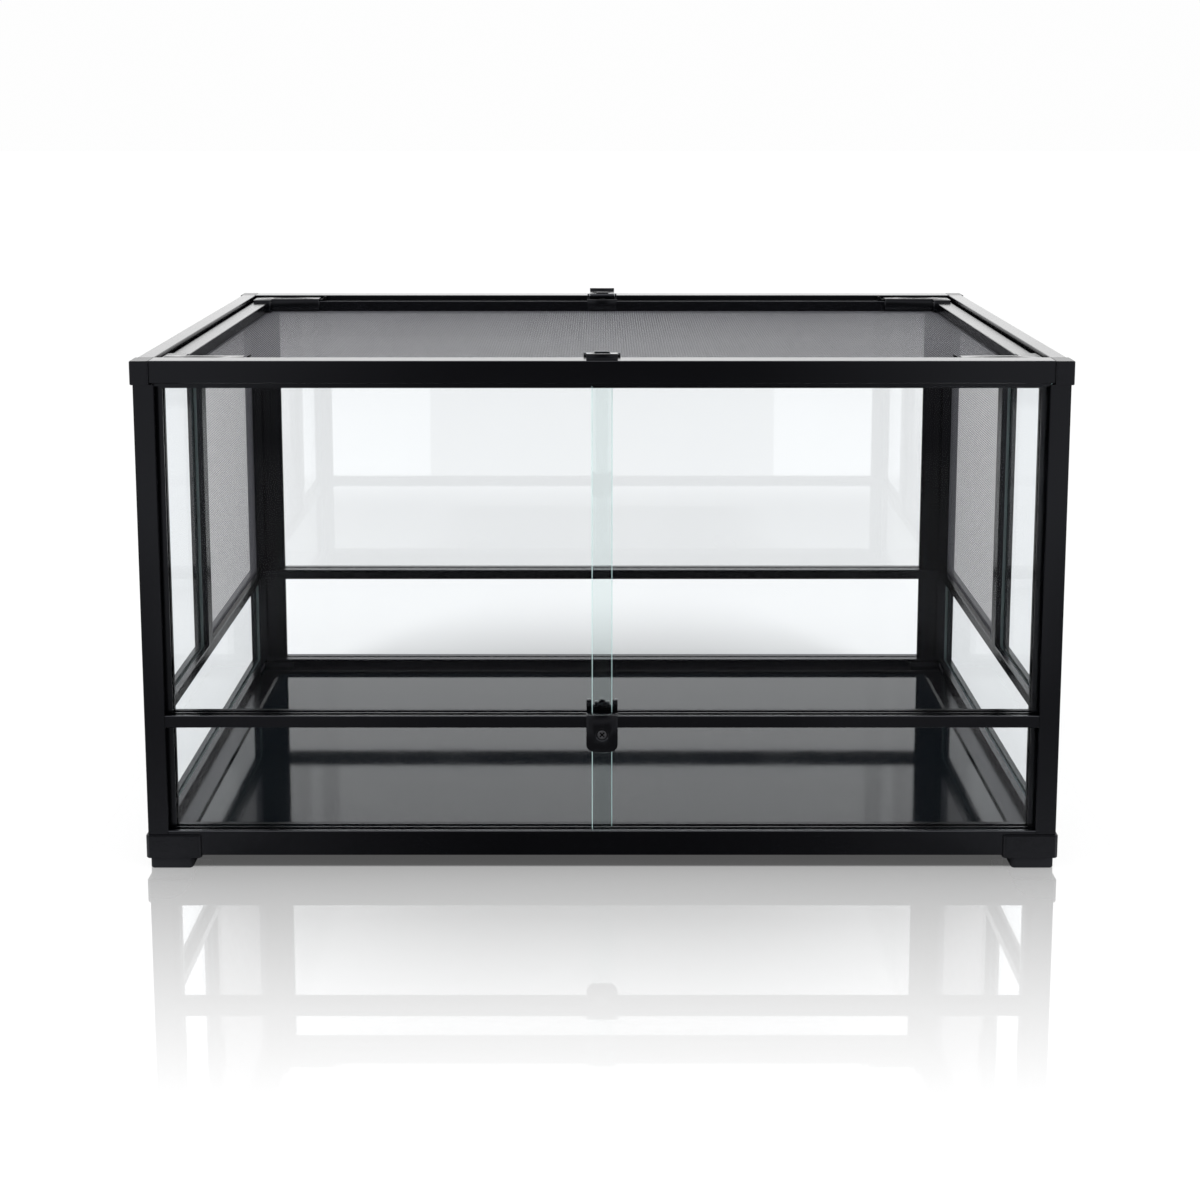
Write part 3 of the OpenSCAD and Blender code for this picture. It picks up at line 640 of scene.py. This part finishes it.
def add_softbox(side):
    """A lamp on one side, -1 or 1, that the camera doesn't see."""
    name = f"softbox_{side}"
    data = bpy.data.lights.new(name, "AREA")
    data.shape = "RECTANGLE"
    data.size, data.size_y = SOFTBOX_WIDTH, SOFTBOX_HEIGHT
    data.energy = SOFTBOX_POWER
    across = Vector((side, 1, 1))
    place, target = (across * Vector(point) for point in (SOFTBOX_PLACE, SOFTBOX_TARGET))
    lamp = bpy.data.objects.new(name, data)
    lamp.location = place
    lamp.rotation_euler = (target - place).to_track_quat("-Z", "Y").to_euler()
    lamp.visible_camera = False
    bpy.context.scene.collection.objects.link(lamp)


def dimmed(look, x, before):
    """How much of the floor's white glossy rays miss: painted dark reflections, so that coats and panes
    mirror dark zones.
    """
    outer = look.ramp(x.size() - before * BESIDE_WIDENS, *BESIDE_ACROSS)
    near = look.below(before, NEAR_BEFORE).at_least(outer * look.below(before, BESIDE_BEFORE))
    middle = look.below(x.size(), MIDDLE_ACROSS) * look.below(before, MIDDLE_BEFORE)
    far = look.below(x.size(), FAR_ACROSS) * look.ramp(before, *FAR_BEFORE)
    # The painted dark strip, seen only in reflections, widening away from the tank.
    painted_strip_ends = (PAINTED_STRIP_HALF - PAINTED_STRIP_EDGE, PAINTED_STRIP_HALF + PAINTED_STRIP_EDGE)
    painted_strip = 1.0 - look.ramp(x.size() - before * PAINTED_STRIP_WIDENS, *painted_strip_ends)
    first = (near * DIM_NEAR).at_least(middle * DIM_MIDDLE)
    return first.at_least(far * DIM_FAR).at_least(painted_strip * DIM_PAINTED_STRIP)


def floor_finish():
    """White acrylic: a mirror image that fades with the distance from the tank, darkened by a painted
    shade in front of the tank, most in the middle.
    """
    material, look = new_look("white_acrylic")
    x, y, _ = look.axes(look.place())
    _, high = CAD_BOX
    before = y.size() - high.y
    away = (x.size() - high.x).at_least(before)
    under = 1.0 - look.ramp(away, -UNDER_EDGE, 0.0)
    # Under the tank the raised mirror share darkens the floor: a real mirror image that also stands in
    # as a painted shadow.
    mirror = (MIRROR_AT_FEET - MIRROR_FADE * away.at_least(0.0)).at_least(under * MIRROR_UNDER_AS_SHADOW)
    narrows = before.at_least(0.0) * PAINTED_SHADE_NARROWS
    inside = 1.0 - look.ramp(x.size() + narrows - high.x, -PAINTED_SHADE_EDGE, 0.0)
    clears = PAINTED_SHADE_FADE * (before - PAINTED_SHADE_FROM).at_least(0.0)
    clears_at_sides = look.ramp(x.size(), *PAINTED_SHADE_SIDES) * PAINTED_SHADE_AT_SIDES
    # Painted shade: the share of black mixed into the mirror image in front of the tank.
    painted_shade = inside * (1.0 - under) * (PAINTED_SHADE_AT_FEET - (clears + clears_at_sides)).at_least(0.0)
    seen = look.node("ShaderNodeLightPath", output="Is Camera Ray")
    glossy = look.node("ShaderNodeLightPath", output="Is Glossy Ray")
    white = FLOOR_WHITE - (FLOOR_WHITE - FLOOR_SEEN) * seen
    grey = white * (1.0 - glossy * dimmed(look, x, before))
    colour = look.node("ShaderNodeCombineColor", {}, {part: grey for part in range(3)})
    matt = look.node("ShaderNodeBsdfDiffuse", {}, {"Color": colour})
    lift = look.node("ShaderNodeEmission", {}, {
        "Color": CLEAR_WHITE, "Strength": (FLOOR_LEVEL - FLOOR_SEEN * FLOOR_LIT) * seen,
    })
    lit = look.node("ShaderNodeAddShader", {}, {0: matt, 1: lift})
    gloss = look.node("ShaderNodeBsdfGlossy", {}, {"Color": CLEAR_WHITE, "Roughness": GLOSS_ROUGHNESS})
    # Black for the painted shade on the mirror image.
    dark = look.node("ShaderNodeBsdfDiffuse", {}, {"Color": (0, 0, 0, 1)})
    look.finish(look.mix(mirror.at_least(0.0), lit, look.mix(painted_shade, gloss, dark)))
    return material


def add_floor():
    bpy.ops.object.select_all(action="DESELECT")
    bpy.ops.mesh.primitive_plane_add(size=FLOOR_SIZE)
    floor = bpy.context.object
    floor.name = "floor"
    floor.data.materials.append(floor_finish())


def light_world():
    """White all round, mirrored brighter low down behind the tank and overhead, and dark before it."""
    world = bpy.data.worlds.new("studio")
    world.use_nodes = True
    bpy.context.scene.world = world
    look = Look(world.node_tree)
    x, y, z = look.axes(look.node("ShaderNodeTexCoord", output="Generated"))
    ahead = look.below(x.size(), AHEAD_X) * look.below(y, AHEAD_Y) * look.below(z, AHEAD_Z)
    behind = look.ramp(y, *BEHIND_Y) * look.below(z.size(), BEHIND_Z)
    above = look.ramp(z, *ABOVE_Z)
    glossy = look.node("ShaderNodeLightPath", output="Is Glossy Ray")
    seen = look.node("ShaderNodeLightPath", output="Is Camera Ray")
    glow = BACK_GLOW * behind + SKY_GLOW * above - DIM_FAR * ahead
    strength = seen * BACKGROUND + (1.0 - seen) * (1.0 + glossy * glow)
    look.finish(
        look.node("ShaderNodeBackground", {}, {"Color": CLEAR_WHITE, "Strength": strength}),
        "ShaderNodeOutputWorld",
    )


# ---------- operators ----------


class TERRARIUM_OT_stage(bpy.types.Operator):
    """Sets the camera, the floor, the lamps and the white background"""

    bl_idname = "terrarium.stage"
    bl_label = "Stage"

    def execute(self, context):
        context.scene.view_settings.view_transform = "Standard"
        add_camera()
        light_world()
        add_floor()
        for side in (-1, 1):
            add_softbox(side)
        return {"FINISHED"}


class TERRARIUM_OT_extrusions(bpy.types.Operator):
    """Coats the rails, posts and dividers"""

    bl_idname = "terrarium.extrusions"
    bl_label = "Extrusions"

    def execute(self, context):
        coat = context.scene.terrarium_colours.coat
        for axis, names in {"x": ALONG_X, "y": ALONG_Y, "z": UPRIGHT}.items():
            clad(names, coated_metal("powder_coat_" + axis, coat, axis))
        return {"FINISHED"}


class TERRARIUM_OT_blocks(bpy.types.Operator):
    """Finishes the corner blocks, the joiners and the feet"""

    bl_idname = "terrarium.blocks"
    bl_label = "Blocks and feet"

    def execute(self, context):
        plastic = context.scene.terrarium_colours.plastic
        blocks = moulded_plastic(
            "block_plastic", scaled(plastic, 1.6),
            roughness=0.28, grain=2400.0, depth=0.000002, specular=0.22,
        )
        rubber = moulded_plastic(
            "pad_rubber", scaled(plastic, 3.0),
            roughness=0.72, grain=1300.0, depth=0.00004, specular=0.2,
        )
        clad(["foot_blocks", "top_corners", "post_joiners"], blocks)
        clad(["foot_pads"], rubber)
        return {"FINISHED"}


class TERRARIUM_OT_floor_panel(bpy.types.Operator):
    """Polishes the black floor panel"""

    bl_idname = "terrarium.floor_panel"
    bl_label = "Floor panel"

    def execute(self, context):
        clad(["floor_panel"], gloss_panel("floor_gloss", PANEL_BLACK))
        return {"FINISHED"}


class TERRARIUM_OT_panes(bpy.types.Operator):
    """Makes the panes and the sliding doors, with ground rims"""

    bl_idname = "terrarium.panes"
    bl_label = "Panes and doors"

    def execute(self, context):
        colours = context.scene.terrarium_colours
        thin_x, thin_y = 0, 1
        clear = clear_glass("clear_glass", colours.tint, facing=0.003, strip=SEAL_HALF)
        at_back = {
            "back_pane": clear_glass("coated_glass", colours.tint, facing=0.11),
            "lower_pane_back": clear_glass("plain_glass", colours.tint, facing=0.02),
        }
        deeper = [part * part for part in colours.tint]
        side = clear_glass("side_glass", deeper, facing=0.02, grazing=0.3)
        ground = ground_glass("ground_rim", colours.rim)
        # A darker copy of the ground rim for the side panes, whose rims sit in the slots of the posts:
        # painted shade.
        painted_shade_rim = ground_glass("rim_painted_shade", scaled(colours.rim, 0.3))
        for node in ACROSS_PANES:
            glass_pane(node, thin_y, at_back.get(node, clear), ground)
        for node in SIDE_PANES:
            glass_pane(node, thin_x, side, painted_shade_rim)
        return {"FINISHED"}


class TERRARIUM_OT_meshes(bpy.types.Operator):
    """Weaves the wire mesh of the lid and of the side vents"""

    bl_idname = "terrarium.meshes"
    bl_label = "Wire mesh"

    def execute(self, context):
        enamel = wire_coat("wire_enamel", context.scene.terrarium_colours.wire)
        low, high, middle = box_of("lid_mesh")
        sheet = woven_sheet("wire_lid", high.x - low.x, high.y - low.y, enamel)
        self.put(sheet, Matrix.Translation(middle), "lid_mesh")
        for side in SIDES:
            node = "side_mesh_" + side
            low, high, middle = box_of(node)
            sheet = woven_sheet("wire_side_" + side, high.z - low.z, high.y - low.y, enamel)
            self.put(sheet, Matrix.Translation(middle) @ Matrix.Rotation(QUARTER_TURN, 4, "Y"), node)
        return {"FINISHED"}

    def put(self, sheet, place, node):
        """Lays a flat sheet where a solid is, in its stead."""
        sheet.matrix_world = place
        select_only(sheet)
        bpy.ops.object.transform_apply(location=True, rotation=True, scale=True)
        stand_in(sheet, "wire_mesh", node)


class TERRARIUM_OT_clips(bpy.types.Operator):
    """Rounds and finishes the lid corners, shutters, hasps and the lock"""

    bl_idname = "terrarium.clips"
    bl_label = "Clips and lock"

    def execute(self, context):
        colours = context.scene.terrarium_colours
        rounding = context.scene.terrarium_sizes.clip_round
        gloss = moulded_plastic(
            "clip_plastic", colours.plastic,
            roughness=0.18, grain=1800.0, depth=0.0000015, specular=0.22,
        )
        matt = moulded_plastic(
            "shutter_plastic", colours.plastic,
            roughness=0.5, grain=900.0, depth=0.000004, specular=0.03,
        )
        finishes = dict.fromkeys(GLOSS_CLIPS, gloss)
        for row, side in CORNERS:
            finishes[f"lid_corner_{row}_{side}"] = gloss
            finishes[f"shutter_{row}_{side}"] = matt
        for node, finish in finishes.items():
            piece = merged_copy(node, "clip_" + node, finish)
            soften(piece, rounding)
            stand_in(piece, "clip_plastic", node)
        clad(["hasp_pins"], brushed_steel("pin_steel", colours.steel))
        turned = brushed_steel("lock_steel", colours.lock)
        cylinder = merged_copy("lock_cylinder", "lock_cylinder_turned", turned)
        soften(cylinder, rounding * CYLINDER_ROUND)
        stand_in(cylinder, "frame_coat", "lock_cylinder")
        return {"FINISHED"}


OPERATORS = (
    TERRARIUM_OT_stage, TERRARIUM_OT_extrusions, TERRARIUM_OT_blocks, TERRARIUM_OT_floor_panel,
    TERRARIUM_OT_panes, TERRARIUM_OT_meshes, TERRARIUM_OT_clips,
)


class TERRARIUM_PT_panel(bpy.types.Panel):
    """Lists the settings and the steps that build the terrarium"""

    bl_label = "Terrarium"
    bl_space_type = "VIEW_3D"
    bl_region_type = "UI"
    bl_category = "Terrarium"

    def draw(self, context):
        for group in (context.scene.terrarium_sizes, context.scene.terrarium_colours):
            for name in group.__annotations__:
                self.layout.prop(group, name)
        for operator in OPERATORS:
            self.layout.operator(operator.bl_idname)


CLASSES = (TerrariumSizes, TerrariumColours, *OPERATORS, TERRARIUM_PT_panel)


def register():
    for cls in CLASSES:
        bpy.utils.register_class(cls)
    bpy.types.Scene.terrarium_sizes = PointerProperty(type=TerrariumSizes)
    bpy.types.Scene.terrarium_colours = PointerProperty(type=TerrariumColours)


def unregister():
    del bpy.types.Scene.terrarium_colours
    del bpy.types.Scene.terrarium_sizes
    for cls in reversed(CLASSES):
        bpy.utils.unregister_class(cls)


def main():
    register()
    for operator in OPERATORS:
        family, name = operator.bl_idname.split(".")
        getattr(getattr(bpy.ops, family), name)()


if __name__ == "__main__":
    main()
